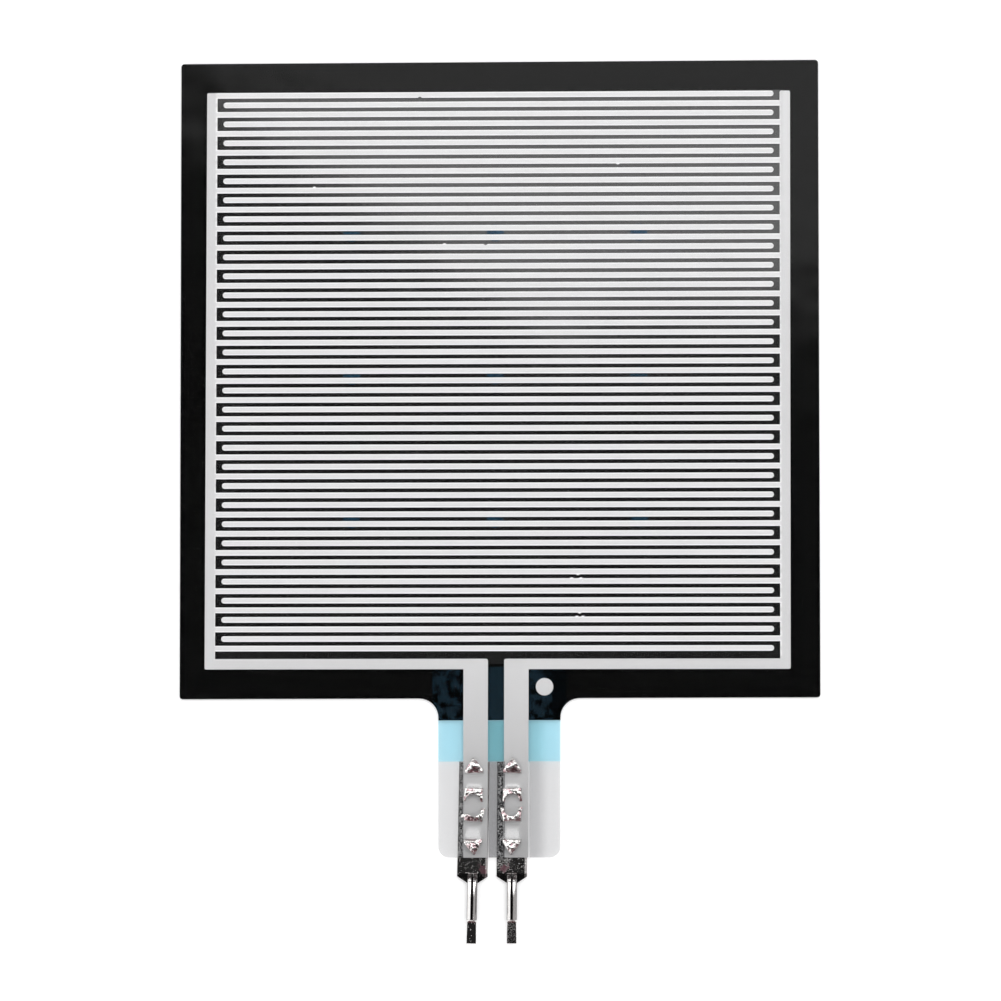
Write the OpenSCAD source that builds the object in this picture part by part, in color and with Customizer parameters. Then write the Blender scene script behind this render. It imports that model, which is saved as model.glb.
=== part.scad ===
// Square thin-film force sensing resistor with a narrow tail and two crimped contacts.
// Two printed polyester films are bonded face to face by a thin adhesive frame.
// The clear front film carries two interleaved silver combs and their tail traces.
// The back film carries a black carbon layer that bridges the combs when it is pressed.
// It lies flat in XY: back film down, silver side up, tail towards -Y.
// The origin is the centre of the square pad on the back film's outer face.

/* [Sensing pad] */
// Side of the square pad
pad_side = 40; // [30:1:60]
// Radius of the pad's outer corners
pad_corner_r = 0.2; // [0.1:0.1:1.5]

/* [Tail] */
// Width of the tail
tail_w = 7.62; // [7:0.1:12]
// Length of the tail beyond the pad
tail_len = 9.93; // [9.5:0.1:20]
// Radius of the tail's two free corners
tail_corner_r = 0.7; // [0.2:0.1:1]
// Radius of the fillets between pad and tail
neck_r = 1.2; // [0.4:0.1:1.3]
// How far the back film and its carbon reach down the tail
back_tab_len = 1.36; // [1.3:0.02:2]

/* [Films and inks] */
// Thickness of the back film
back_film_t = 0.125; // [0.075:0.025:0.25]
// Thickness of the carbon layer
carbon_t = 0.015; // [0.01:0.005:0.03]
// Thickness of the adhesive frame, which is the air gap's height
spacer_t = 0.1; // [0.08:0.01:0.2]
// Thickness of the front film
front_film_t = 0.125; // [0.075:0.025:0.25]
// Thickness of the printed silver
silver_t = 0.012; // [0.008:0.002:0.02]
// Thickness of the insulating ink below the silver
ink_t = 0.02; // [0.01:0.005:0.03]

/* [Silver combs] */
// Clear border left and right of the combs
side_margin = 1.7; // [1.2:0.1:4]
// Clear border above the combs
top_margin = 1.9; // [1.2:0.1:4]
// Clear border below the leads
bottom_margin = 1.82; // [1.5:0.02:4]
// Width of the bus bars and of the leads along the bottom
bus_w = 0.65; // [0.4:0.05:1.2]
// Distance from one finger to the next
finger_pitch = 0.6; // [0.5:0.05:1.2]
// Width of a finger
finger_w = 0.35; // [0.2:0.05:0.4]
// Gap between a finger's free end and the opposite bus bar
tip_gap = 0.38; // [0.2:0.02:1]
// Smallest gap between the last finger and the leads
lead_gap = 0.46; // [0.3:0.02:1]
// Offset of the print to the right of the film's middle
print_shift = -0.1; // [-0.3:0.05:0.3]
// Slight turn of the print on the film, in degrees
print_skew = -0.12; // [-0.3:0.01:0.3]

/* [Print flaws] */
// Specks of ink on a finger's edge: finger from the top, place across, side of the finger
bumps = [
    [7, 7.52, -1], [10, -11.53, 1], [16, -3.35, 1], [50, 5.04, -1], [51, 4.65, 1],
    [51, 5.23, 1], [54, 5.15, -1], [55, 4.97, 1], [55, 5.35, 1]
];
// Nicks in a finger's edge: finger from the top, place across, side of the finger
nicks = [[0, -4.92, -1], [16, -0.77, 1]];
// Radius of such a speck or nick
flaw_r = 0.15; // [0.1:0.01:0.16]
// Height of a speck or nick, as a share of the gap between fingers
flaw_share = 0.24; // [0.1:0.02:0.3]

/* [Tail traces] */
// Width of a tail trace
trace_w = 1.53; // [1.2:0.01:1.8]
// Distance between the two traces' centre lines
trace_pitch = 2.54; // [2.4:0.02:3]
// Radius of the traces' inner corners at the leads
trace_corner_r = 0.13; // [0.05:0.01:0.3]
// Diameter of the silver index dot
index_d = 1.09; // [0.6:0.01:1.3]
// Place of the index dot to the right of the pad's middle
index_x = 2.96; // [2.9:0.02:3]
// Place of the index dot above the pad's bottom edge
index_up = 0.72; // [0.66:0.01:0.8]

/* [Spacer dots and adhesive] */
// Diameter of a spacer dot
dot_d = 1.05; // [0.6:0.05:2]
// Distance between spacer dots, both ways
dot_pitch = 9; // [6:0.5:10]
// Place of the middle dot to the right of the pad's middle
dot_grid_x = -0.25; // [-0.5:0.05:0.5]
// Place of the middle dot above the pad's middle
dot_grid_y = 0.2; // [-0.5:0.05:0.5]
// Height of a spacer dot below the front film
dot_h = 0.045; // [0.03:0.005:0.07]
// Radius of the adhesive window's corners
window_corner_r = 0.3; // [0.1:0.1:1]
// Width of the vent channel between the traces
vent_w = 0.94; // [0.5:0.02:1]
// Width of the insulating ink where it reaches into the pad
ink_w = 8.4; // [7.7:0.1:12]
// How far the insulating ink reaches up into the pad
ink_up = 1.95; // [1.9:0.01:2.3]

/* [Crimped contacts] */
// Thickness of the contacts' sheet metal
sheet_t = 0.2; // [0.15:0.01:0.25]
// Width of a contact's plate
plate_w = 1.89; // [1.7:0.01:2.2]
// Length of a contact's plate, down to its shoulders
plate_len = 7.14; // [7:0.01:8]
// How far the plate reaches past the film's end
plate_out = 1.17; // [0.9:0.01:2]
// Length of the sloping shoulders
shoulder_len = 0.41; // [0.3:0.01:0.8]
// Width of the slope along the plate's right upper edge
edge_slope_w = 0.14; // [0.08:0.01:0.2]
// Height of that slope
edge_slope_h = 0.11; // [0.05:0.01:0.12]
// Places of the two contacts at the film's end, left one first
contact_x = [-1.67, 0.77];
// Turn of the two contacts as they were crimped, in degrees
contact_skew = [-1.1, -0.32];

/* [Claws] */
// Width of a claw at its fold
claw_w = 1.1; // [0.8:0.05:1.2]
// Reach of the four claws from their folds, upper one first
claw_reach = [0.94, 0.84, 0.88, 0.95];
// Open gaps between the folds of the two windows, upper one first
window_gap = [0.94, 1.12];
// Distance from the plate's upper end to the middle of the first window
first_window = 1.18; // [1.1:0.02:1.4]
// Distance between the middles of the two windows
window_pitch = 3.1; // [2.9:0.05:3.4]
// Height of a claw's back above the film
claw_rise = 0.26; // [0.26:0.01:0.3]
// Radius of a claw's back along its length
arch_r = 0.7; // [0.7:0.02:0.9]
// Radius of a claw's back across its width
crown_r = 1.5; // [1.5:0.1:4]
// Radius of the bend above a claw's fold
bend_r = 0.12; // [0.08:0.01:0.14]
// Turn of the left contact's claws as they curled, in degrees, upper one first
left_claw_turn = [3, -2, -3, 6];
// Turn of the right contact's claws as they curled, in degrees, upper one first
right_claw_turn = [-3, 2, 2, -1];
// Width of a claw at its point
point_w = 0.1; // [0.06:0.01:0.2]
// How far the legs of a forked claw spread beyond its fold
leg_spread = [0.07, 0.15];
// How far out the one leg lies that was pressed flat sideways
flat_foot_out = 0.92; // [0.7:0.01:0.95]
// Reach of that flat foot from the fold
flat_foot_reach = 0.4; // [0.35:0.01:0.6]
// Depth of the solid metal between fold and fork, upper forked claw first
fork_root = [0.37, 0.3];
// Radius of the round fork between two legs
fork_r = 0.45; // [0.4:0.01:0.5]
// Clearance round a claw where it passes through the film
slit_gap = 0.02; // [0.01:0.01:0.05]

/* [Pins] */
// Outer diameter of a rolled pin
pin_d = 0.64; // [0.56:0.02:0.7]
// Length of a rolled pin below the shoulders
pin_len = 2.3; // [1.5:0.1:6]
// Width of the seam along a rolled pin
seam_w = 0.13; // [0.06:0.01:0.16]
// Length over which the roll rises out of the plate
roll_rise = 0.62; // [0.45:0.01:0.9]
// How much the roll narrows where it rises and where it is pinched
roll_taper = 0.02; // [0.01:0.01:0.06]
// Length of the pinched slope between a pin and its tongue
pinch_len = 0.15; // [0.1:0.01:0.3]
// Length of the tongue that is pinched flat below the pin
tongue_len = 1.32; // [0.8:0.01:3]
// Thickness of the tongue
tongue_t = 0.14; // [0.1:0.01:0.2]
// Width of the tongue where it leaves the pin
tongue_w = 0.56; // [0.4:0.01:0.56]
// Width of the tongue at its cut end
tongue_tip_w = 0.62; // [0.5:0.01:0.62]
// Offset of the pin from the plate's middle
pin_shift = 0.02; // [-0.1:0.01:0.1]

/* [Hidden] */
$fn = 64;

LEFT = 0;
RIGHT = 1;
grid_n = 3;

// Heights of the layers, from the back film's outer face upwards
carbon_z = back_film_t;
spacer_z = carbon_z + carbon_t;
film_z = spacer_z + spacer_t;
silver_z = film_z - silver_t;
ink_z = silver_z - ink_t;
film_top = film_z + front_film_t;
plate_z = silver_z - sheet_t;

// Outline of the films
pad_half = pad_side / 2;
tail_end = -pad_half - tail_len;
back_end = -pad_half - back_tab_len;

// Layout of the combs, about the print's own middle
comb_half = pad_half - side_margin;
bus_top = pad_half - top_margin;
lead_bottom = -pad_half + bottom_margin;
lead_top = lead_bottom + bus_w;
bus_inner = comb_half - bus_w;
first_finger = bus_top - finger_w;
finger_room = first_finger - lead_top - lead_gap;
count_slack = 0.01;
finger_n = floor(finger_room / finger_pitch + count_slack) + 1;
flaw_h = flaw_share * (finger_pitch - finger_w);
bus_corner_r = 0.1;
trace_shift = -0.07;

// Layout of a contact, from the film's end upwards
plate_bottom = -plate_out;
plate_top = plate_bottom + plate_len;
pin_top = plate_bottom - shoulder_len;
pin_bottom = pin_top - pin_len;
pin_r = pin_d / 2;
pin_bore_r = pin_r - sheet_t;
roll_start = pin_top + roll_rise;
film_h = film_top - plate_z;
back_h = film_h + claw_rise;
claw_low = film_h + slit_gap / 2;
post_share = 0.16;
post_h = film_h + post_share * claw_rise;
peak_share = 0.45;
fold_foot = sheet_t;
FORKED = [1, 2];
FLATTENED = 2;
ink_clear = 0.02;
ink_end = tail_end + plate_top + ink_clear;

// Small extra length that lets cutters pass right through
past = 0.05;

// Extra length of shapes that are trimmed afterwards
trim = 1;

// A rectangle between two corners
module span(x0, y0, x1, y1) {
    translate([x0, y0]) square([x1 - x0, y1 - y0]);
}

// A rectangle between two corners, with all its corners rounded
module rounded_span(x0, y0, x1, y1, r) {
    span(x0 + r, y0, x1 - r, y1);
    span(x0, y0 + r, x1, y1 - r);
    for (x = [x0 + r, x1 - r], y = [y0 + r, y1 - r])
        translate([x, y]) circle(r = r);
}

// The concave fillet between the pad and one side of the tail
module neck_fillet() {
    difference() {
        span(tail_w / 2 - past, -pad_half - neck_r, tail_w / 2 + neck_r, -pad_half + past);
        translate([tail_w / 2 + neck_r, -pad_half - neck_r]) circle(r = neck_r);
    }
}

// The pad and its neck, with a straight tail down to a given height
module pad_outline(end_y) {
    rounded_span(-pad_half, -pad_half, pad_half, pad_half, pad_corner_r);
    span(-tail_w / 2, end_y, tail_w / 2, -pad_half + past);
    neck_fillet();
    mirror([1, 0]) neck_fillet();
}

// The front film's outline, with rounded corners at the tail's end
module front_outline() {
    pad_outline(tail_end + tail_corner_r);
    rounded_span(-tail_w / 2, tail_end, tail_w / 2, -pad_half, tail_corner_r);
}

// The back film's outline, which ends straight across the neck
module back_outline() {
    pad_outline(back_end);
}

// Turns and shifts what is printed with the silver
module printed() {
    translate([print_shift, 0]) rotate(print_skew) children();
}

// Bus bar, lead and tail trace of one comb, drawn for the right side
module rails(side) {
    centre = trace_pitch / 2 + side * trace_shift;
    inner = centre - trace_w / 2;
    outer = centre + trace_w / 2;
    rounded_span(bus_inner, lead_bottom, comb_half, bus_top, bus_corner_r);
    rounded_span(inner, lead_bottom, comb_half, lead_top, trace_corner_r);
    span(inner, tail_end - trim, outer, lead_top - trace_corner_r);
    span(outer - past, lead_bottom, comb_half - bus_w / 2, lead_bottom + bus_w / 2);
}

// Every second finger of one comb, with round free ends, drawn for the right side
module fingers(first) {
    end_x = -bus_inner + tip_gap + finger_w / 2;
    for (i = [first : 2 : finger_n - 1]) {
        mid_y = first_finger + finger_w / 2 - i * finger_pitch;
        span(end_x, mid_y - finger_w / 2, bus_inner + past, mid_y + finger_w / 2);
        translate([end_x, mid_y]) circle(r = finger_w / 2);
    }
}

// Round specks or nicks on the edges of one comb's fingers
module flaws(places, which, centre_in) {
    for (flaw = places) {
        finger = flaw[0];
        edge = first_finger + finger_w / 2 - finger * finger_pitch + flaw[2] * finger_w / 2;
        if (finger % 2 == which && finger < finger_n && abs(flaw[1]) < bus_inner - trim)
            translate([flaw[1], edge - flaw[2] * centre_in]) circle(r = flaw_r);
    }
}

// Mirrors a right-hand comb shape to its own side
module on_side(which) {
    if (which == LEFT) mirror([1, 0]) children();
    else children();
}

// The whole silver figure of one comb, cut off at the film's end
module comb_figure(which) {
    side = which == LEFT ? -1 : 1;
    intersection() {
        printed() difference() {
            union() {
                on_side(which) {
                    rails(side);
                    fingers(which);
                }
                flaws(bumps, which, flaw_r - flaw_h);
            }
            flaws(nicks, which, flaw_h - flaw_r);
        }
        span(-pad_half, tail_end, pad_half, pad_half);
    }
}

// The part of both combs that lies against the adhesive frame
module rails_figure() {
    printed() for (which = [LEFT, RIGHT])
        on_side(which) rails(which == LEFT ? -1 : 1);
}

// The silver index dot beside the right trace
module index_figure() {
    printed() translate([index_x, -pad_half + index_up]) circle(d = index_d);
}

// The blue insulating ink over the traces, from the pad down to the contacts
module ink_figure() {
    intersection() {
        front_outline();
        span(-ink_w / 2, ink_end, ink_w / 2, -pad_half + ink_up);
    }
}

// Puts a child where one contact is crimped
module at_contact(which) {
    translate([contact_x[which], tail_end, plate_z])
        rotate([0, 0, contact_skew[which]]) children();
}

// Puts a child at the fold of one claw, with +Y the way that it curls
module at_claw(row) {
    upper = row < 2;
    from_top = row % 2 == 0;
    gap = window_gap[upper ? 0 : 1];
    middle = plate_top - first_window - (upper ? 0 : window_pitch);
    fold_y = middle + (from_top ? gap : -gap) / 2;
    translate([0, fold_y, 0])
        rotate([0, 0, from_top ? 0 : 180]) children();
}

// Side profile of the bend in which a claw leaves the plate, reaching a little into the plate
module fold_profile() {
    intersection() {
        span(0, 0, sheet_t + past, sheet_t);
        union() {
            translate([sheet_t, sheet_t]) circle(r = sheet_t);
            span(sheet_t, 0, sheet_t + past, sheet_t);
        }
    }
}

// Side profile of a claw's back, which arches from its fold down to its point
module back_profile(reach) {
    peak = peak_share * reach;
    arch_y = back_h - arch_r;
    to_bend = arch_r - bend_r;
    bend_y = arch_y + sqrt(to_bend * to_bend - (peak - bend_r) * (peak - bend_r));
    touch_x = peak - (peak - bend_r) * arch_r / to_bend;
    difference() {
        intersection() {
            union() {
                intersection() {
                    translate([peak, arch_y]) circle(r = arch_r);
                    span(touch_x, 0, reach, film_h + trim);
                }
                translate([bend_r, bend_y]) circle(r = bend_r);
                span(0, 0, bend_r, bend_y);
            }
            span(0, claw_low, reach, film_h + trim);
        }
        translate([peak, arch_y]) circle(r = arch_r - sheet_t);
    }
}

// Plan of a pointed claw
module pointed_plan(reach) {
    polygon([
        [-claw_w / 2, 0], [claw_w / 2, 0], [claw_w / 2, fold_foot],
        [point_w / 2, reach], [-point_w / 2, reach], [-claw_w / 2, fold_foot]
    ]);
}

// Plan of a forked claw, whose two legs spread apart beside a round fork
module forked_plan(reach, row) {
    foot = claw_w / 2 + leg_spread[row - 1];
    difference() {
        polygon([
            [-claw_w / 2, 0], [claw_w / 2, 0], [claw_w / 2, fold_foot],
            [foot, reach], [-foot, reach], [-claw_w / 2, fold_foot]
        ]);
        translate([0, fork_root[row - 1] + fork_r]) circle(r = fork_r);
    }
}

// Plan of the forked claw whose left leg was pressed flat sideways
module flattened_plan(reach, row) {
    difference() {
        forked_plan(reach, row);
        span(-flat_foot_out, flat_foot_reach, 0, reach + past);
    }
    polygon([
        [-claw_w / 2, fold_foot], [-flat_foot_out, fold_foot],
        [-flat_foot_out, flat_foot_reach - point_w], [-flat_foot_out + point_w, flat_foot_reach],
        [-claw_w / 2, flat_foot_reach]
    ]);
}

// One claw, standing at its fold and curled towards +Y
module claw(which, row) {
    reach = claw_reach[row];
    forked = len(search(row, FORKED)) > 0;
    turn = which == LEFT ? left_claw_turn[row] : right_claw_turn[row];
    wide = 2 * flat_foot_out + trim;
    rotate([90, 0, 90]) {
        linear_extrude(height = claw_w + 2 * past, center = true) fold_profile();
        linear_extrude(height = claw_w, center = true) span(0, sheet_t - past, sheet_t, post_h);
    }
    rotate([0, 0, turn]) intersection() {
        rotate([90, 0, 90])
            linear_extrude(height = wide, center = true) back_profile(reach);
        linear_extrude(height = film_h + trim) {
            if (which == LEFT && row == FLATTENED) flattened_plan(reach, row);
            else if (forked) forked_plan(reach, row);
            else pointed_plan(reach);
        }
        translate([0, 0, back_h - crown_r]) rotate([90, 0, 0])
            cylinder(r = crown_r, h = 2 * (reach + trim), center = true);
    }
}

// The slits that one contact's claws cut in film and trace
module claw_slits(which) {
    at_contact(which) for (row = [0 : 3]) at_claw(row)
        translate([-claw_w / 2 - slit_gap, -slit_gap, sheet_t - past])
            cube([claw_w + 2 * slit_gap, sheet_t + 2 * slit_gap, trim]);
}

// Flat outline of a contact's plate and shoulders
module plate_figure() {
    half = plate_w / 2;
    polygon([
        [-half, plate_top], [half, plate_top], [half, plate_bottom],
        [pin_shift + pin_r, pin_top], [pin_shift - pin_r, pin_top], [-half, plate_bottom]
    ]);
}

// The two windows whose metal was folded up into claws
module plate_windows() {
    for (i = [0, 1]) {
        middle = plate_top - first_window - i * window_pitch;
        half_gap = window_gap[i] / 2 + sheet_t;
        span(-claw_w / 2, middle - half_gap, claw_w / 2, middle + half_gap);
    }
}

// A round bar or bore along the pin's axis, from one height down to another
module pin_bar(top_y, bottom_y, top_r, bottom_r) {
    translate([pin_shift, top_y, pin_r]) rotate([90, 0, 0])
        cylinder(h = top_y - bottom_y, r1 = top_r, r2 = bottom_r);
}

// A side view drawn as (y, height), as thick as the plate is wide
module side_view() {
    rotate([90, 0, 90]) linear_extrude(height = plate_w, center = true) children();
}

// The rolled pin with its seam up, whose upper end rises out of the plate
module rolled_pin() {
    difference() {
        union() {
            pin_bar(pin_top + past, pin_bottom, pin_r, pin_r);
            intersection() {
                pin_bar(roll_start, pin_top, pin_r - roll_taper, pin_r);
                side_view() polygon([
                    [roll_start, 0], [roll_start, sheet_t], [pin_top, pin_d], [pin_top, 0]
                ]);
            }
        }
        pin_bar(roll_start + past, pin_bottom, pin_bore_r, pin_bore_r);
        translate([pin_shift - seam_w / 2, pin_bottom, pin_r])
            cube([seam_w, roll_start - pin_bottom + past, pin_d]);
    }
}

// The pin's end, pinched down to a flat tongue at its middle height
module pinched_end() {
    low = pin_r - tongue_t / 2;
    high = pin_r + tongue_t / 2;
    slope_end = pin_bottom - pinch_len;
    tongue_end = slope_end - tongue_len;
    intersection() {
        pin_bar(pin_bottom + past, slope_end, pin_r - roll_taper / 2, pin_r - roll_taper);
        side_view() polygon([
            [pin_bottom + past, 0], [pin_bottom + past, pin_d], [pin_bottom, pin_d],
            [slope_end, high], [slope_end, low], [pin_bottom, 0]
        ]);
    }
    translate([pin_shift, 0, low]) linear_extrude(height = tongue_t) polygon([
        [-tongue_w / 2, slope_end + past], [tongue_w / 2, slope_end + past],
        [tongue_tip_w / 2, tongue_end], [-tongue_tip_w / 2, tongue_end]
    ]);
}

// Slopes the plate's right-hand upper edge, as the press leaves it
module edge_slope_cut() {
    side = plate_w / 2;
    translate([0, plate_top + past, 0]) rotate([90, 0, 0])
        linear_extrude(height = plate_len + shoulder_len + past) polygon([
            [side - edge_slope_w, sheet_t], [side - edge_slope_w, sheet_t + past],
            [side + past, sheet_t + past], [side + past, sheet_t - edge_slope_h],
            [side, sheet_t - edge_slope_h]
        ]);
}

// One stamped contact: plate, claws and rolled pin are a single piece of sheet
module contact(which) {
    at_contact(which) {
        difference() {
            linear_extrude(height = sheet_t) difference() {
                plate_figure();
                plate_windows();
            }
            edge_slope_cut();
        }
        for (row = [0 : 3]) at_claw(row) claw(which, row);
        rolled_pin();
        pinched_end();
    }
}

module front_film() {
    color([0.9, 0.91, 0.92, 0.35]) difference() {
        translate([0, 0, film_z]) linear_extrude(height = front_film_t) front_outline();
        for (which = [LEFT, RIGHT]) claw_slits(which);
    }
}

module electrode(which) {
    color([0.84, 0.84, 0.84]) difference() {
        translate([0, 0, silver_z]) linear_extrude(height = silver_t) comb_figure(which);
        claw_slits(which);
    }
}

module left_electrode() {
    electrode(LEFT);
}

module right_electrode() {
    electrode(RIGHT);
}

module index_dot() {
    color([0.84, 0.84, 0.84])
        translate([0, 0, silver_z]) linear_extrude(height = silver_t) index_figure();
}

module tail_insulation() {
    color([0.55, 0.82, 0.9]) difference() {
        translate([0, 0, ink_z]) linear_extrude(height = ink_t + silver_t) ink_figure();
        translate([0, 0, silver_z]) linear_extrude(height = silver_t + past) {
            rails_figure();
            index_figure();
        }
    }
}

module spacer_dot(i) {
    column = (i - 1) % grid_n - 1;
    row = 1 - floor((i - 1) / grid_n);
    x = dot_grid_x + column * dot_pitch;
    y = dot_grid_y + row * dot_pitch;
    color([0.25, 0.45, 0.6]) difference() {
        translate([x, y, film_z - dot_h]) cylinder(d = dot_d, h = dot_h);
        translate([0, 0, silver_z]) linear_extrude(height = silver_t + past) intersection() {
            union() for (which = [LEFT, RIGHT]) comb_figure(which);
            translate([x, y]) square(2 * dot_d, center = true);
        }
    }
}

module spacer_adhesive() {
    vent_x = print_shift + trace_shift;
    frame_half = comb_half - bus_w / 2;
    frame_bottom = lead_bottom + bus_w / 2;
    color([0.85, 0.85, 0.8, 0.5]) difference() {
        translate([0, 0, spacer_z]) linear_extrude(height = spacer_t) difference() {
            back_outline();
            rounded_span(print_shift - frame_half, frame_bottom,
                print_shift + frame_half, bus_top + past, window_corner_r);
            span(vent_x - vent_w / 2, back_end - past, vent_x + vent_w / 2, frame_bottom + past);
        }
        translate([0, 0, silver_z]) linear_extrude(height = silver_t + past) {
            rails_figure();
            index_figure();
        }
        translate([0, 0, ink_z]) linear_extrude(height = ink_t + silver_t + past) ink_figure();
    }
}

module carbon_layer() {
    color([0.07, 0.07, 0.08])
        translate([0, 0, carbon_z]) linear_extrude(height = carbon_t) back_outline();
}

module back_film() {
    color([0.1, 0.1, 0.11])
        linear_extrude(height = back_film_t) back_outline();
}

module left_contact() {
    color([0.75, 0.74, 0.74]) contact(LEFT);
}

module right_contact() {
    color([0.75, 0.74, 0.74]) contact(RIGHT);
}

front_film();
left_electrode();
right_electrode();
index_dot();
tail_insulation();
for (i = [1 : grid_n * grid_n])
    spacer_dot(i);
spacer_adhesive();
carbon_layer();
back_film();
left_contact();
right_contact();
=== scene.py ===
"""Looks of a square thin-film force sensing resistor that lies on a white table, seen from above.

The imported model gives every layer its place. This script gives each layer the finish of the real
one, and builds again those whose surface the crimping bent or whose faces would otherwise lie on
their neighbours. Lengths are in millimetres, but for the table's size and the lamp's, in metres.
"""

import math

import bmesh
import bpy
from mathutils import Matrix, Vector
from mathutils.bvhtree import BVHTree


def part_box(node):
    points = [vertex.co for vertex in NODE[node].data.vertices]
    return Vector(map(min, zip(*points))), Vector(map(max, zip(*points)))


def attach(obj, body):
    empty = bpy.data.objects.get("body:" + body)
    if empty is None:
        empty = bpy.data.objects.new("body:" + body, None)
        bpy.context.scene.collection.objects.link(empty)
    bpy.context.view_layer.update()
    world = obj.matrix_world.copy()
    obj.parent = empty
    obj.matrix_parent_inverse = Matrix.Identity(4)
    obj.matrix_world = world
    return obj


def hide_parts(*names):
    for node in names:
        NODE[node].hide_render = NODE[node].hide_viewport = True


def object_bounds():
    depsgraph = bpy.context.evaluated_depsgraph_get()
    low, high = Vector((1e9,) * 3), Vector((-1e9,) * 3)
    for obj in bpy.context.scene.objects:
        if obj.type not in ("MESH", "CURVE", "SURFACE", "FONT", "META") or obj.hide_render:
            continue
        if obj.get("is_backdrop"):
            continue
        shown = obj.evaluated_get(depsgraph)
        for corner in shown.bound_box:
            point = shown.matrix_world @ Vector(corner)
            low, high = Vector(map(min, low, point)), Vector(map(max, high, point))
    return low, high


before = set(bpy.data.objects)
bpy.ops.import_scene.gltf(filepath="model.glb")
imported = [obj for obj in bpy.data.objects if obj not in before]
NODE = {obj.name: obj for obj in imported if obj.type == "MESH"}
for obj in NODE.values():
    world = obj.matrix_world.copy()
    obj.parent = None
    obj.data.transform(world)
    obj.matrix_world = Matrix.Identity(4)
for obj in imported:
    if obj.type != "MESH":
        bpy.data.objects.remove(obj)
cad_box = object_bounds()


# Back film. The real piece is a polyester film, dark all through to the eye because of the carbon
# printed on it. It is die-cut to a 40 mm square with a short tab over the neck, and its outer face
# is smooth and glossy.
MM = 0.001


class Value:
    """A number or colour that changes over a surface. Sums written in Python become Math nodes."""

    def __init__(self, finish, socket):
        self.finish, self.socket = finish, socket

    def sum(self, operation, first, second=0.0):
        return self.finish.node("ShaderNodeMath", {"operation": operation}, {0: first, 1: second})

    def __add__(self, other):
        return self.sum("ADD", self, other)

    def __sub__(self, other):
        return self.sum("SUBTRACT", self, other)

    def __rsub__(self, other):
        return self.sum("SUBTRACT", other, self)

    def __mul__(self, other):
        return self.sum("MULTIPLY", self, other)

    def __truediv__(self, other):
        return self.sum("DIVIDE", self, other)

    def __pow__(self, other):
        return self.sum("POWER", self, other)

    def __abs__(self):
        return self.sum("ABSOLUTE", self)

    def __round__(self):
        return self.sum("ROUND", self)

    __radd__ = __add__
    __rmul__ = __mul__


class Finish:
    """One material, or the world. Its nodes read the place on the object in millimetres."""

    def __init__(self, owner, coordinates="Object", scale=1 / MM):
        self.owner = owner
        owner.use_nodes = True
        self.tree = owner.node_tree
        self.tree.nodes.clear()
        kind = "World" if isinstance(owner, bpy.types.World) else "Material"
        self.output = self.tree.nodes.new(f"ShaderNodeOutput{kind}")
        where = self.node("ShaderNodeTexCoord", output=coordinates)
        self.place = self.vector("SCALE", {"Vector": where, "Scale": scale})
        self.x, self.y, self.z = (
            self.node("ShaderNodeSeparateXYZ", None, {"Vector": self.place}, axis) for axis in "XYZ"
        )

    def node(self, kind, settings=None, values=None, output=0):
        """Adds a node, sets its settings first and then its sockets, and returns an output."""
        made = self.tree.nodes.new(kind)
        for name, setting in (settings or {}).items():
            setattr(made, name, setting)
        for name, value in (values or {}).items():
            socket = made.inputs[name]
            if isinstance(value, Value):
                self.tree.links.new(value.socket, socket)
            elif isinstance(value, tuple) and len(value) == 3 and socket.type == "RGBA":
                socket.default_value = (*value, 1.0)
            else:
                socket.default_value = value
        return Value(self, made.outputs[output])

    def vector(self, operation, values):
        return self.node("ShaderNodeVectorMath", {"operation": operation}, values)

    def noise(self, size, detail=2.0, stretch=(1.0, 1.0, 1.0), offset=0.0):
        """Soft noise from 0 to 1, with patches about size millimetres across."""
        where = self.vector("MULTIPLY", {0: self.place, 1: stretch})
        moved = self.vector("ADD", {0: where, 1: (offset, offset, offset)})
        values = {"Vector": moved, "Scale": 1 / size, "Detail": detail}
        return self.node("ShaderNodeTexNoise", None, values)

    def step(self, value, low, high, first=0.0, second=1.0):
        """Goes smoothly from first, where value is low, to second, where it is high."""
        values = {"Value": value, "From Min": low, "From Max": high}
        values |= {"To Min": first, "To Max": second}
        return self.node("ShaderNodeMapRange", {"interpolation_type": "SMOOTHSTEP"}, values)

    def fall(self, value, low, high):
        """Goes smoothly from 1, where value is low, to 0, where it is high."""
        return self.step(value, low, high, 1.0, 0.0)

    def band(self, value, low, high, soft):
        """1 between low and high and 0 outside, with soft edges that lie within the two."""
        return self.step(value, low, low + soft) * self.fall(value, high - soft, high)

    def larger(self, first, second):
        return self.node("ShaderNodeMath", {"operation": "MAXIMUM"}, {0: first, 1: second})

    def blend(self, mask, first, second):
        """A colour between two, by a mask from 0 to 1."""
        values = {0: mask, 6: first, 7: second}
        return self.node("ShaderNodeMix", {"data_type": "RGBA"}, values, 2)

    def bump(self, height, strength):
        values = {"Height": height, "Strength": strength, "Distance": MM}
        return self.node("ShaderNodeBump", None, values)

    def mixed(self, factor, first, second):
        """A mix of two shaders."""
        return self.node("ShaderNodeMixShader", None, {0: factor, 1: first, 2: second})

    def clear(self, tint=(1.0, 1.0, 1.0)):
        """A shader that lets light straight through and tints it."""
        return self.node("ShaderNodeBsdfTransparent", None, {"Color": tint})

    def matt(self, colour):
        return self.node("ShaderNodeBsdfDiffuse", None, {"Color": colour})

    def solid(self, **sockets):
        """A Principled shader. An underscore in a name stands for a space."""
        values = {name.replace("_", " "): value for name, value in sockets.items()}
        return self.node("ShaderNodeBsdfPrincipled", None, values)

    def show(self, shader):
        self.tree.links.new(shader.socket, self.output.inputs["Surface"])
        return self.owner


def material(name):
    return Finish(bpy.data.materials.new(name))


def dress(piece, *materials):
    """Gives a piece its materials in place of those it has."""
    piece.data.materials.clear()
    for each in materials:
        piece.data.materials.append(each)


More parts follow.
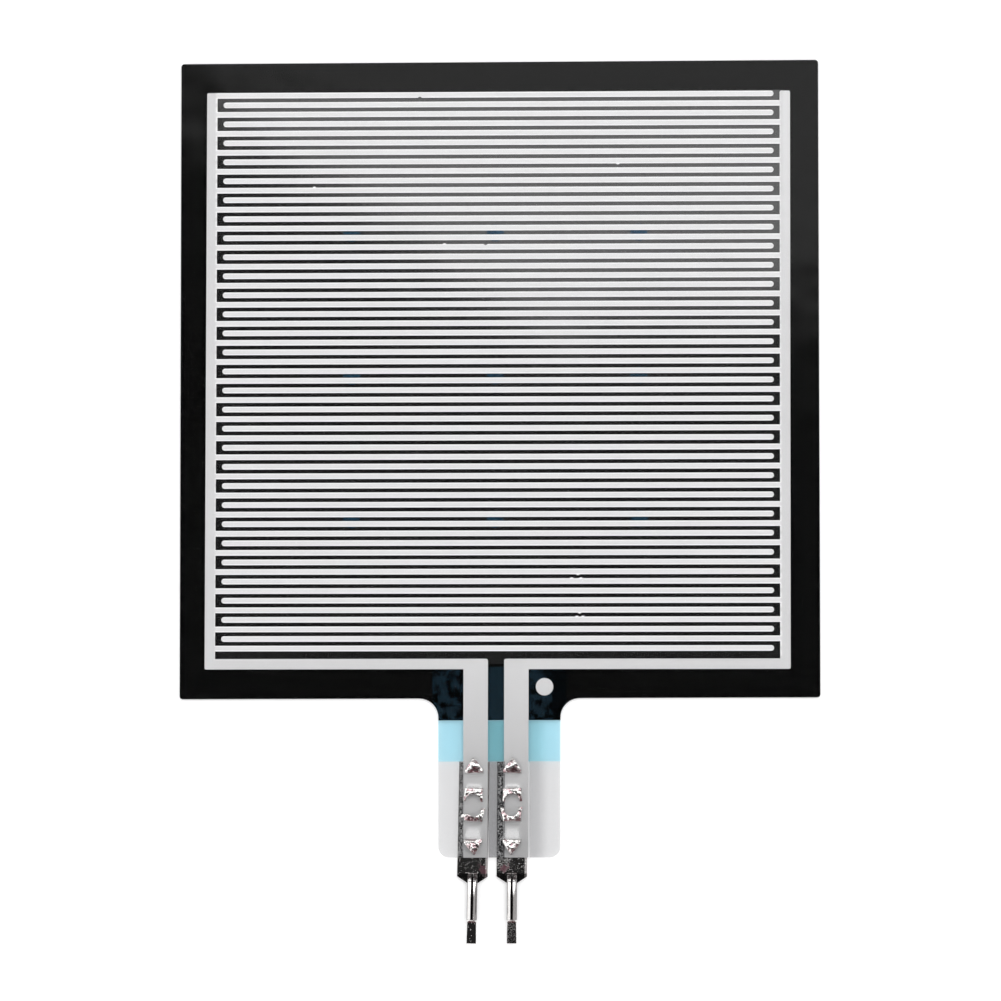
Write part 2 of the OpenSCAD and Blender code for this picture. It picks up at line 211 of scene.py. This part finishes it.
black = material("black_polyester")
black_grain = black.noise(0.12, 3.0)
black_wave = black.noise(5.0, 1.0)
BLACK_FILM = black.show(
    black.solid(
        Base_Color=black.blend(black_grain, (0.0035, 0.0035, 0.004), (0.007, 0.007, 0.008)),
        Roughness=0.1 + black_grain * 0.08,
        IOR=1.6,
        Normal=black.bump(black_wave, 0.06),
    )
)
dress(NODE["back_film"], BLACK_FILM)


# Carbon layer. The real one is black carbon ink, screen-printed over the whole inner face of the
# back film. It mirrors the light in the window, where an air gap lies over it, and hardly at all
# where the adhesive wets it.
BUS_INSET = 0.33
WINDOW_BOTTOM = -17.855
WINDOW_EDGE = 0.03


def grey(level):
    return (level, level, level)


def box_of(node):
    """The lowest and highest corners of a packed layer, in millimetres."""
    return [Vector(corner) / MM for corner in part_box(node)]


left_low, left_high = box_of("left_electrode")
right_high = box_of("right_electrode")[1]
WINDOW_LEFT = left_low.x + BUS_INSET
WINDOW_RIGHT = right_high.x - BUS_INSET
WINDOW_TOP = max(left_high.y, right_high.y)


def window_mask(finish):
    """1 over the air gap and 0 over the adhesive frame."""
    across = finish.band(finish.x, WINDOW_LEFT, WINDOW_RIGHT, WINDOW_EDGE)
    along = finish.band(finish.y, WINDOW_BOTTOM, WINDOW_TOP, WINDOW_EDGE)
    return across * along


carbon = material("carbon_ink")
carbon_grain = carbon.noise(0.09, 4.0)
carbon_cloud = carbon.noise(4.0, 2.0, (0.5, 1.0, 1.0))
carbon_shiny = carbon.solid(
    Base_Color=carbon.blend(carbon_cloud, grey(0.004), grey(0.012)),
    Roughness=0.03 + carbon_grain * 0.02,
    IOR=2.5,
)
carbon_wet = carbon.solid(
    Base_Color=carbon.blend(carbon_grain, grey(0.002), grey(0.0035)),
    Roughness=0.9,
    Specular_IOR_Level=0.0,
)
CARBON = carbon.show(carbon.mixed(window_mask(carbon), carbon_wet, carbon_shiny))
dress(NODE["carbon_layer"], CARBON)


# Adhesive frame. The real one is a thin clear acrylic adhesive, printed round the window and either
# side of a narrow vent channel. It bonds the two films, wets them, and so can't be told from them
# except as a pale line at the edge.
SAME_PLACE = 1e-5
ADHESIVE_SHARE = 0.97
FLAT = 0.5


def copy_of(node):
    """A bmesh of a packed layer, with its loose triangles joined up."""
    bm = bmesh.new()
    bm.from_mesh(NODE[node].data)
    bmesh.ops.remove_doubles(bm, verts=bm.verts, dist=SAME_PLACE * MM)
    return bm


def piece_from(bm, name, node, slot, *materials):
    """Makes a bmesh a piece of the object that stands for a packed layer."""
    mesh = bpy.data.meshes.new(name)
    bm.to_mesh(mesh)
    bm.free()
    piece = bpy.data.objects.new(name, mesh)
    bpy.context.scene.collection.objects.link(piece)
    dress(piece, *materials)
    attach(piece, "root")
    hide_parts(node)


def shrink_height(bm, share):
    """Takes a layer's faces a few microns off its neighbours' faces."""
    heights = [v.co.z for v in bm.verts]
    middle = (min(heights) + max(heights)) / 2
    for v in bm.verts:
        v.co.z = middle + (v.co.z - middle) * share


glue = material("clear_adhesive")
glue_speck = glue.noise(0.5, 2.0)
CLEAR_ADHESIVE = glue.show(
    glue.mixed(0.0004 + glue_speck * 0.0008, glue.clear(), glue.matt((0.8, 0.8, 0.76)))
)
pale = material("adhesive_edge")
ADHESIVE_EDGE = pale.show(
    pale.mixed(0.12 + pale.noise(0.3) * 0.1, pale.clear(), pale.matt((0.6, 0.6, 0.57)))
)
adhesive = copy_of("spacer_adhesive")
shrink_height(adhesive, ADHESIVE_SHARE)
adhesive.normal_update()
for face in adhesive.faces:
    face.material_index = 0 if abs(face.normal.z) > FLAT else 1
piece_from(
    adhesive, "adhesive_frame", "spacer_adhesive", "adhesive", CLEAR_ADHESIVE, ADHESIVE_EDGE
)


# Silver combs and index dot. The real ones are silver ink, screen-printed on the front film's inner
# face and dried: light grey, fine-grained, and brighter along the fingers' edges, where the ink
# dried thicker. Where the claws came through, the traces are lifted beside the slits.
FINGER_TOP = 17.925
FINGER_PITCH = 0.6
FINGER_HALF = 0.175
RIM_WIDTH, RIM_CORE = 0.085, 0.03
PRINT_SHIFT = -0.1
PRINT_TURN = math.radians(-0.12)
# Where the fingers lie, where a painted reflection of the soft box brightens the right bus bar, and
# where the leads grow darker
FIELD_LEFT, FIELD_RIGHT, FIELD_LOW = -17.9, 17.7, -17.6
BUS_LEFT, BUS_REFLECTION_LOW, BUS_REFLECTION_HIGH = 17.7, 2.0, 16.0
LEADS_TOP, LEADS_FADE = -18.3, 0.034


def silver_finish(name):
    silver = material(name)
    grain = silver.noise(0.07, 3.0)
    cloud = silver.noise(2.5, 2.0)
    along = silver.y * math.cos(PRINT_TURN) - (silver.x - PRINT_SHIFT) * math.sin(PRINT_TURN)
    finger = (FINGER_TOP - along) / FINGER_PITCH
    off_middle = abs(finger - round(finger)) * FINGER_PITCH
    rim = silver.step(off_middle, FINGER_HALF - RIM_WIDTH, FINGER_HALF - RIM_CORE)
    field = silver.band(silver.x, FIELD_LEFT, FIELD_RIGHT, 0.2)
    field = field * silver.step(silver.y, FIELD_LOW, FIELD_LOW + 0.1)
    # Painted reflection: the right bus bar is lighter towards its top, standing in for the soft
    # box's reflection
    bus_box_reflection = silver.step(silver.x, BUS_LEFT, BUS_LEFT + 0.2)
    bus_box_reflection = bus_box_reflection * silver.step(silver.y, BUS_REFLECTION_LOW, BUS_REFLECTION_HIGH)
    level = 0.7 + field * 0.1 + field * rim * 0.2 + bus_box_reflection * 0.05
    fade = 1 - silver.larger(LEADS_TOP - silver.y, 0.0) * LEADS_FADE
    mottle = 0.94 + grain * 0.07 + cloud * 0.05
    return silver.show(
        silver.solid(
            Base_Color=silver.blend(level * fade * mottle, grey(0.0), (1.0, 0.998, 0.995)),
            Metallic=0.12,
            Roughness=0.32 + grain * 0.12,
            Normal=silver.bump(grain, 0.06),
        )
    )


SILVER = silver_finish("silver_ink")
dress(NODE["index_dot"], SILVER)

# The end of the tail, and of each contact the middle and how far it is turned
FILM_END = -29.93
CONTACTS = ((-1.67, math.radians(-1.1)), (0.77, math.radians(-0.32)))
# Of each claw: its fold above the film's end, the side of its window, and the lip's height and
# length. The lip starts rising before the slit and dies away on either side of the claw.
LIPS = (
    (5.26, -1, 0.06, 0.35), (4.32, 1, 0.07, 0.35), (2.25, -1, 0.06, 0.35), (1.13, 1, 0.16, 1.05)
)
SLIT_GAP = 0.02
LIP_FOOT = -0.2
LIP_HALF, LIP_OUT = 0.3, 0.6
LIFTED_LEFT, LIFTED_RIGHT = -3.0, 2.5
LIFTED_LOW, LIFTED_HIGH = -29.5, -24.1
GRID = 0.07
ON_CUT = 1e-6
SHORTEST = 0.002
SHARPEST_BEND = math.radians(30)


def smooth(value, low, high):
    share = min(max((value - low) / (high - low), 0.0), 1.0)
    return share * share * (3 - 2 * share)


def lip_height(x, y):
    """How far the claws lifted film and silver at a place, in millimetres."""
    most = 0.0
    for contact_x, skew in CONTACTS:
        right, up = x - contact_x, y - FILM_END
        across = right * math.cos(skew) + up * math.sin(skew)
        along = up * math.cos(skew) - right * math.sin(skew)
        for fold, side, height, length in LIPS:
            away = (along - fold) * side
            if away < SLIT_GAP:
                rise = smooth(away, LIP_FOOT, SLIT_GAP)
            else:
                rise = max(0.0, 1 - (away - SLIT_GAP) / length) ** 2
            most = max(most, height * rise * (1 - smooth(abs(across), LIP_HALF, LIP_OUT)))
    return most


def lift_at_claws(bm):
    """Cuts the end of the tail into a fine grid and lifts it beside the claws' slits."""

    def cut(axis, place, under):
        """Cuts the faces that lie under a height across one axis."""
        faces = [face for face in bm.faces if all(v.co.y < under for v in face.verts)]
        geom = list({part for face in faces for part in (face, *face.edges, *face.verts)})
        at, normal = [0, 0, 0], [0, 0, 0]
        at[axis], normal[axis] = place * MM, 1
        bmesh.ops.bisect_plane(bm, geom=geom, plane_co=at, plane_no=normal, dist=ON_CUT * MM)

    cut(1, LIFTED_HIGH, 1.0)
    below = (LIFTED_HIGH + 0.001) * MM
    tail = [v for v in bm.verts if v.co.y < below]
    flat = [
        line for line in bm.edges if min(v.co.y for v in line.verts) < below - SHORTEST * MM
    ]
    bmesh.ops.dissolve_limit(bm, angle_limit=math.radians(0.5), verts=tail, edges=flat)
    for i in range(1, int((LIFTED_HIGH - LIFTED_LOW) / GRID) + 1):
        cut(1, LIFTED_HIGH - i * GRID, below)
    for i in range(int((LIFTED_RIGHT - LIFTED_LEFT) / GRID)):
        cut(0, LIFTED_LEFT + i * GRID, below)
    bmesh.ops.dissolve_degenerate(bm, edges=bm.edges, dist=SHORTEST * MM)
    bmesh.ops.triangulate(bm, faces=[face for face in bm.faces if len(face.verts) > 4])
    for v in bm.verts:
        if v.co.y < below:
            v.co.z += lip_height(v.co.x / MM, v.co.y / MM) * MM


def shade_smooth(bm):
    """Shades gentle bends smooth and keeps real edges sharp."""
    for face in bm.faces:
        face.smooth = True
    for line in bm.edges:
        line.smooth = line.calc_face_angle(math.pi) < SHARPEST_BEND


for side in ("left", "right"):
    comb = copy_of(f"{side}_electrode")
    lift_at_claws(comb)
    shade_smooth(comb)
    piece_from(comb, f"{side}_silver_comb", f"{side}_electrode", "silver_ink", SILVER)


# Insulating ink and spacer dots. The real ones are a see-through cyan ink on the inner face of the
# front film. Over the white table it is light blue, and over the carbon it is navy. It also makes
# the nine low dots in the window.
TRACES = ((-2.2, -0.67), (0.34, 1.87))
BLOTCH_MIDDLE, BLOTCH_HALF = -0.45, 3.75
STREAK_SHADE = 0.965
SHADOW_TINT = (0.46, 0.68, 0.7)
BACK_TAB_END = box_of("back_film")[0].y


def behind_traces(finish):
    """1 where a trace's shadow falls through the clear tail, on the right of that trace."""
    left_end, right_end = (edges[1] for edges in TRACES)
    after_left = finish.band(finish.x, left_end - 0.1, right_end - 0.1, 0.1)
    after_left = after_left * finish.step(finish.x, left_end + 0.6, left_end + 1.5, 1.0, 0.75)
    after_right = finish.step(finish.x, right_end - 0.1, right_end)
    after_right = after_right * finish.step(
        finish.x, right_end + 0.3, right_end + 1.3, 0.45, 0.0
    )
    return finish.larger(after_left, after_right)


def ink_finish(name, tint, body, amount, dark=0.0):
    """See-through ink. Where dark is given, it paints a trace shadow and mottles the ink over the
    back film's black tab.
    """
    ink = material(name)
    cloud = ink.noise(1.2, 3.0)
    streak = ink.noise(0.5, 2.0, (1.0, 0.35, 1.0), 7.0)
    darker = tuple(channel * STREAK_SHADE for channel in tint)
    see_through = ink.mixed(streak, ink.clear(darker), ink.clear(tint))
    spread = 0.3 + cloud * 1.4
    if dark:
        over_table = ink.fall(ink.y, BACK_TAB_END - 0.1, BACK_TAB_END)
        # Over the black tab it is even between the traces and lies in small blotches beside them
        between = ink.band(ink.x, TRACES[0][1] - 0.1, TRACES[1][0] + 0.1, 0.1)
        blotches = ink.step(ink.noise(0.5, 3.0, offset=3.0), 0.47, 0.53)
        blotches = blotches * ink.fall(
            abs(ink.x - BLOTCH_MIDDLE), BLOTCH_HALF - 0.2, BLOTCH_HALF + 0.2
        )
        over_tab = 0.12 + between * 1.2 + (1 - between) * blotches * 1.25
        spread = over_table * spread + (1 - over_table) * over_tab
        # Painted shadow: on the right of each trace the ink lets less light through, standing in
        # for the trace's shadow on the table
        shadow = behind_traces(ink) * over_table * dark
        see_through = ink.mixed(shadow, see_through, ink.clear(SHADOW_TINT))
    return ink.show(ink.mixed(amount * spread, see_through, ink.matt(body)))


TAIL_INK = ink_finish(
    "blue_insulating_ink", (0.8, 0.95, 0.99), (0.19, 0.38, 0.54), 0.018, dark=0.55
)
DOT_INK = ink_finish("blue_spacer_ink", (0.52, 0.7, 0.84), (0.11, 0.38, 0.56), 0.062)
dress(NODE["tail_insulation"], TAIL_INK)
for name in sorted(NODE):
    if name.startswith("spacer_dot_"):
        dress(NODE[name], DOT_INK)


# Front film. The real piece is a clear polyester film that carries all the prints on its inner
# face. It is glossy outside, faintly milky where its bare inner face meets air, and the claws have
# lifted it beside their slits.
INK_END = box_of("tail_insulation")[0].y
SOFT_EDGE = 0.03
PLATE_HALF = 0.85
OFF_PRINTS = 0.0025


def on_traces(finish):
    """1 over the two silver traces of the tail."""
    first, second = (
        finish.band(finish.x, left - SOFT_EDGE, right + SOFT_EDGE, 2 * SOFT_EDGE)
        for left, right in TRACES
    )
    return finish.larger(first, second)


def on_plates(finish):
    """1 over the plates of the two contacts."""
    first, second = (
        finish.fall(
            abs(finish.x - contact_x + (finish.y - FILM_END) * math.sin(skew)),
            PLATE_HALF,
            PLATE_HALF + 0.1,
        )
        for contact_x, skew in CONTACTS
    )
    return finish.larger(first, second)


def film_finish(name):
    """Glossy and clear, with a painted shadow behind the traces, and milky with specks over the
    plates.
    """
    film = material(name)
    wave = film.noise(3.0, 1.0)
    bare = film.fall(film.y, INK_END - SOFT_EDGE, INK_END + SOFT_EDGE) * (1 - on_traces(film))
    specks = film.step(film.noise(0.11, 3.0), 0.46, 0.64)
    milk = 0.03 + film.noise(0.12, 3.0) * 0.08
    fog = bare * (milk + on_plates(film) * (specks * 0.25 - 0.06)) + window_mask(film) * 0.003
    over_prints, over_table = film.clear((0.985, 0.985, 0.988)), film.clear((0.89, 0.89, 0.893))
    # Painted shadow: behind the traces the bare film lets less light through, standing in for the
    # traces' shadow on the table
    clear_through = film.mixed(
        bare * behind_traces(film),
        film.mixed(bare, over_prints, over_table),
        film.clear((0.66, 0.66, 0.667)),
    )
    body = film.mixed(fog, clear_through, film.matt((0.8, 0.8, 0.81)))
    outside = 1 - film.node("ShaderNodeNewGeometry", output="Backfacing")
    fresnel = film.node("ShaderNodeFresnel", None, {"IOR": 1.52}) * outside
    mirror = {"Color": (1, 1, 1), "Roughness": 0.06, "Normal": film.bump(wave, 0.01)}
    gloss = film.node("ShaderNodeBsdfGlossy", None, mirror)
    return film.show(film.mixed(fresnel, body, gloss))


inner = material("film_inner_face")
INNER_FACE = inner.show(
    inner.mixed(inner.noise(0.4) * 0.002, inner.clear(), inner.matt(grey(0.8)))
)
FILM_FACE = film_finish("glossy_film_face")
edge = material("film_cut_edge")
CUT_EDGE = edge.show(
    edge.mixed(
        0.35 + edge.noise(0.2) * 0.2,
        edge.clear((0.8, 0.8, 0.82)),
        edge.solid(Base_Color=(0.5, 0.5, 0.52), Roughness=0.35),
    )
)

film = copy_of("front_film")
film_middle = sum(corner.z for corner in box_of("front_film")) / 2 * MM
for v in film.verts:
    if v.co.z < film_middle:
        v.co.z += OFF_PRINTS * MM
lift_at_claws(film)
shade_smooth(film)
film.normal_update()
for face in film.faces:
    face.material_index = 0 if face.normal.z > FLAT else 1 if face.normal.z < -FLAT else 2
piece_from(
    film, "clear_front_film", "front_film", "front_film", FILM_FACE, INNER_FACE, CUT_EDGE
)


# Contacts. Each real one is stamped from tin-plated strip: a plate with two punched windows whose
# metal is folded up through film and silver into four curled claws, and a pin rolled from the same
# sheet and pinched flat at its end.
PLATE_TOP = 0.23
CLAW_LOW = 0.37
# Of the pins: their axis, the ends of the roll, how far the roll's inside reaches, and the seam
PIN_SHIFT = 0.02
PIN_AXIS_HIGH = 0.348
ROLL_END, TONGUE = -30.9, -33.8
ROLL_INNER = 0.27
SEAM_HALF = 0.1
# Of each blot: its middle, half its width and height, its turn in degrees and how ragged it is
BROWN_BLOTS = ((-0.95, -30.85, 0.58, 0.26, -58, 1.2), (0.27, -30.62, 0.36, 0.24, 40, 1.2))
DULL_BLOTS = ((0.2, -30.2, 0.6, 0.6, 0, 1.2), (0.77, -34.7, 0.8, 0.8, 0, 0.4))
TIN_DARK, TIN_LIGHT = (0.66, 0.64, 0.63), (0.8, 0.79, 0.78)
BROWN, ROLL_SHADE, RED_REFLECTION_TINT = (0.2, 0.1, 0.12), (0.09, 0.085, 0.085), (0.4, 0.2, 0.23)
# Of the stamping's mesh: how near its points may lie, its bevel, and the least angle bevelled
MERGED = 0.009
BEVEL = 0.022
BEVELLED_FROM = math.radians(38)
# A bevelled point that lies further than this from the sharp shape is the tip of a spike
SPIKE = 0.014
SPIKE_ROUNDS = 3
CLEANED = 0.001


def blots(finish, places):
    """1 inside ragged long blots on the contacts, and 0 outside."""
    masks = []
    for x, y, wide, high, turn, ragged in places:
        c, s = math.cos(math.radians(turn)), math.sin(math.radians(turn))
        right, up = finish.x - x, finish.y - y
        along = (right * c + up * s) / wide
        across = (up * c - right * s) / high
        wander = (finish.noise(0.14, 4.0, offset=x) - 0.5) * ragged * 2
        away = (along * along + across * across) ** 0.5 + wander
        masks.append(finish.fall(away, 0.75, 1.0))
    return finish.larger(*masks)


def tin_finish(name, contact_x, skew):
    """Bright tin with orange peel and specks, brown near the roll, painted shade on the roll,
    painted red reflection on the claws.
    """
    tin = material(name)
    orange_peel = tin.noise(0.16, 3.0)
    fine = tin.noise(0.045, 2.0)
    crumple = tin.noise(0.34, 1.0, offset=9.0)
    specks = tin.step(tin.noise(0.08, 1.0, offset=5.0), 0.71, 0.75)
    # The claws, and the crumpled sheet where the roll leaves the plate
    claws = tin.step(tin.z, CLAW_LOW, CLAW_LOW + 0.05) * tin.step(tin.y, FILM_END, FILM_END + 0.1)
    collar = tin.band(tin.y, ROLL_END - 0.5, ROLL_END + 0.1, 0.1)
    collar = collar * tin.step(tin.z, PLATE_TOP + 0.04, PLATE_TOP + 0.1)
    crumpled = tin.larger(claws, collar * 0.7)
    height = orange_peel * (0.004 + claws * 0.03) + crumple * crumpled * 0.13
    height = height + fine * 0.0006 + specks * 0.01
    # Brown blots on the plate's top
    brown = blots(tin, BROWN_BLOTS) * tin.step(tin.z, PLATE_TOP - 0.08, PLATE_TOP - 0.04)
    colour = tin.blend(orange_peel, TIN_DARK, TIN_LIGHT)
    colour = tin.blend(brown * (0.55 + orange_peel * 0.8), colour, BROWN)
    # Painted shade down the sides of the roll, higher on its right, and in its seam
    off_axis = tin.x - (contact_x + PIN_SHIFT) + (tin.y - FILM_END) * math.sin(skew)
    on_roll = tin.band(tin.y, TONGUE - 0.05, ROLL_END, 0.05)
    right_side = tin.step(off_axis, -0.05, 0.05)
    sides = tin.fall(tin.z - right_side * 0.06, PIN_AXIS_HIGH + 0.12, PIN_AXIS_HIGH + 0.2)
    seam = tin.fall(abs(off_axis), SEAM_HALF - 0.03, SEAM_HALF)
    seam = seam * tin.step(tin.z, PIN_AXIS_HIGH + 0.2, PIN_AXIS_HIGH + 0.22)
    painted_roll_shade = tin.larger(sides * (0.45 + fine * 0.8), seam) * on_roll
    colour = tin.blend(painted_roll_shade, colour, ROLL_SHADE)
    # Painted reflection: a reddish tint in the hollows between the claws' crumples, standing in for
    # the red wall's reflection
    painted_red_reflection = claws * tin.fall(crumple, 0.4, 0.5)
    colour = tin.blend(painted_red_reflection * 0.6, colour, RED_REFLECTION_TINT)
    streaks = tin.step(tin.noise(0.1, 3.0, (1.0, 2.5, 1.0), 3.0), 0.42, 0.6)
    dull = blots(tin, DULL_BLOTS) * streaks
    rough = 0.05 + fine * 0.07 + specks * 0.4 + claws * 0.16 + brown * 0.2 + dull * 0.2
    return tin.show(
        tin.solid(Base_Color=colour, Metallic=1.0, Roughness=rough, Normal=tin.bump(height, 1.0))
    )


# Painted shade: the roll's inside and its seam's walls are near-black metal, partly bare cut edges
# and partly the shade inside the roll
inside = material("roll_inside")
inside_shade_colour = inside.blend(
    inside.noise(0.05, 2.0), (0.02, 0.019, 0.019), (0.05, 0.048, 0.047)
)
ROLL_INSIDE_SHADE = inside.show(inside.solid(Base_Color=inside_shade_colour, Metallic=0.6, Roughness=0.55))


def in_roll(face, contact_x, skew):
    """Whether a face is on the inside of the rolled pin or a wall of its seam."""
    middle = face.calc_center_median() / MM
    across = middle.x - contact_x - PIN_SHIFT + (middle.y - FILM_END) * math.sin(skew)
    high = middle.z - PIN_AXIS_HIGH
    towards_axis = across * face.normal.x + high * face.normal.z < 0
    inward = towards_axis and Vector((across, high)).length < ROLL_INNER
    in_seam = abs(across) < SEAM_HALF and high > 0.1 and abs(face.normal.x) > 0.8
    return TONGUE < middle.y < ROLL_END and (inward or in_seam)


for side, (contact_x, skew) in zip(("left", "right"), CONTACTS):
    stamping = copy_of(f"{side}_contact")
    bmesh.ops.remove_doubles(stamping, verts=stamping.verts, dist=MERGED * MM)
    bmesh.ops.dissolve_limit(
        stamping, angle_limit=math.radians(1), verts=stamping.verts, edges=stamping.edges
    )
    stamping.normal_update()
    for face in stamping.faces:
        face.material_index = 1 if in_roll(face, contact_x, skew) else 0
    stamped = [
        line
        for line in stamping.edges
        if line.calc_face_angle(0.0) > BEVELLED_FROM
        and all(v.co.z > PLATE_TOP * MM for v in line.verts)
        and all(face.material_index == 0 for face in line.link_faces)
    ]
    sharp_shape = BVHTree.FromBMesh(stamping)
    bmesh.ops.bevel(
        stamping,
        geom=stamped,
        offset=BEVEL * MM,
        segments=2,
        profile=0.5,
        affect="EDGES",
        material=-1,
    )
    # The bevel leaves spikes at edges shorter than itself. Each tip goes to its nearest neighbour.
    for _ in range(SPIKE_ROUNDS):
        spikes = {v for v in stamping.verts if sharp_shape.find_nearest(v.co)[3] > SPIKE * MM}
        for v in spikes:
            others = [line.other_vert(v) for line in v.link_edges]
            ends = [other.co for other in others if other not in spikes]
            ends = ends or [sharp_shape.find_nearest(v.co)[0]]
            v.co = min(ends, key=lambda end: (end - v.co).length)
        bmesh.ops.remove_doubles(stamping, verts=stamping.verts, dist=CLEANED * MM)
        bmesh.ops.dissolve_degenerate(stamping, edges=stamping.edges, dist=CLEANED * MM)
    flaps = [
        face for face in stamping.faces if sum(line.is_boundary for line in face.edges) > 1
    ]
    bmesh.ops.delete(stamping, geom=flaps, context="FACES")
    shade_smooth(stamping)
    tin_plate = tin_finish(f"{side}_tin_plate", contact_x, skew)
    piece_from(
        stamping,
        f"{side}_stamped_contact",
        f"{side}_contact",
        "contact_metal",
        tin_plate,
        ROLL_INSIDE_SHADE,
    )


# Table, light and camera. None of these is part of the object. The table is white, the light is
# soft and even, and the camera looks down on the sensor from a little towards its tail, as in the
# photograph.
TABLE_SIZE = 3.0
TABLE_GLOW = 0.25
bpy.ops.mesh.primitive_plane_add(size=TABLE_SIZE, location=(0, 0, -0.01 * MM))
floor = bpy.context.object
floor.name = "table"
table = material("white_table")
camera_ray, glossy_ray, through_ray = (
    table.node("ShaderNodeLightPath", output=f"Is {kind} Ray")
    for kind in ("Camera", "Glossy", "Transmission")
)
glow = (camera_ray + glossy_ray + through_ray) * TABLE_GLOW
table_light = table.node("ShaderNodeEmission", None, {"Color": (1, 1, 1), "Strength": glow})
table_white = table.matt(grey(0.85))
dress(floor, table.show(table.node("ShaderNodeAddShader", None, {0: table_white, 1: table_light})))
floor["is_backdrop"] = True

CAMERA_PLACE = Vector((23.517, -48.575, 496.232))
camera_data = bpy.data.cameras.new("camera")
camera_data.lens = 286.81
camera_data.sensor_width = 36
camera = bpy.data.objects.new("camera", camera_data)
camera.location = CAMERA_PLACE * MM
camera.rotation_mode = "QUATERNION"
camera.rotation_quaternion = (0.998875, 0.041112, 0.023599, -0.001193)
bpy.context.scene.collection.objects.link(camera)
bpy.context.scene.camera = camera

# What metal and film mirror: a soft box overhead, walls round it, and a bright strip behind
PLAIN_LIGHT = 0.95
HORIZON = 0.02
BOX_LIGHT, CEILING_DARK = grey(0.6), grey(0.02)
LEFT_WALL, RIGHT_WALL, BACK_WALL = grey(1.35), (0.45, 0.44, 0.44), (0.3, 0.27, 0.27)
RED_WALL, LOW_WALL, STRIP = (0.13, 0.018, 0.032), grey(2.6), grey(3.8)
world = bpy.data.worlds.new("studio")
bpy.context.scene.world = world
world.cycles.sampling_method = "NONE"
studio = Finish(world, "Generated", 1.0)
glossy = studio.node("ShaderNodeLightPath", output="Is Glossy Ray")
diffuse = studio.node("ShaderNodeLightPath", output="Is Diffuse Ray")
steep = studio.larger(studio.z, HORIZON)
sideways, ahead = studio.x / steep, studio.y / steep
from_zenith = (sideways * sideways + ahead * ahead) ** 0.5
# The place on the pad, in millimetres, where the camera sees a direction mirrored
pad_x = sideways * CAMERA_PLACE.z + CAMERA_PLACE.x
pad_y = ahead * CAMERA_PLACE.z + CAMERA_PLACE.y


def past_line(x, y, across, up):
    """How far that place lies past the line through x, y on the pad, square to across, up."""
    return (pad_x - x) * across + (pad_y - y) * up


long_edge = studio.step(past_line(-19.1, 18.2, 0.573, 0.819), -0.6, 0.9)
low_edge = studio.step(past_line(0.0, 4.6, -0.04, 1.0), -2.0, 1.2)
low_corner = studio.step(past_line(4.4, 1.75, -0.75, 0.66), -0.6, 0.9)
in_box = long_edge * studio.larger(low_edge, low_corner) * studio.fall(from_zenith, 0.35, 0.5)
ceiling = studio.blend(in_box, CEILING_DARK, BOX_LIGHT)
walls = studio.blend(studio.step(sideways, -0.4, 0.4), LEFT_WALL, RIGHT_WALL)
back = studio.step(ahead, 0.65, 0.85) * studio.step(studio.z, 0.15, 0.3)
walls = studio.blend(back, walls, BACK_WALL)
red = studio.fall(ahead, -0.5, -0.3) * studio.step(studio.z, 0.1, 0.3)
red = red * studio.fall(abs(studio.x) + studio.y * 0.62, 0.0, 0.08)
walls = studio.blend(red, walls, RED_WALL)
low = studio.step(studio.y, 0.4, 0.7) * studio.fall(studio.z, 0.1, 0.25)
walls = studio.blend(low, walls, LOW_WALL)
mirrored = studio.blend(studio.step(from_zenith, 0.55, 0.9), ceiling, walls)
mirrored = studio.blend(studio.band(ahead, 0.2, 0.8, 0.2), mirrored, STRIP)
plain = studio.blend(diffuse, grey(1.0), grey(PLAIN_LIGHT))
light = {"Color": studio.blend(glossy, plain, mirrored), "Strength": 1.0}
studio.show(studio.node("ShaderNodeBackground", None, light))

LAMP_PLACE = Vector((0.25, 0.25, 0.7))
lamp_data = bpy.data.lights.new("soft_lamp", "AREA")
lamp_data.shape = "SQUARE"
lamp_data.size = 0.5
lamp_data.energy = 1.6
lamp = bpy.data.objects.new("soft_lamp", lamp_data)
lamp.location = LAMP_PLACE
lamp.rotation_mode = "QUATERNION"
lamp.rotation_quaternion = LAMP_PLACE.to_track_quat("Z", "Y")
lamp.visible_glossy = False
bpy.context.scene.collection.objects.link(lamp)

bpy.context.scene.view_settings.view_transform = "Standard"

visual_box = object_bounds()
{"cad": [list(corner) for corner in cad_box], "visual": [list(corner) for corner in visual_box]}
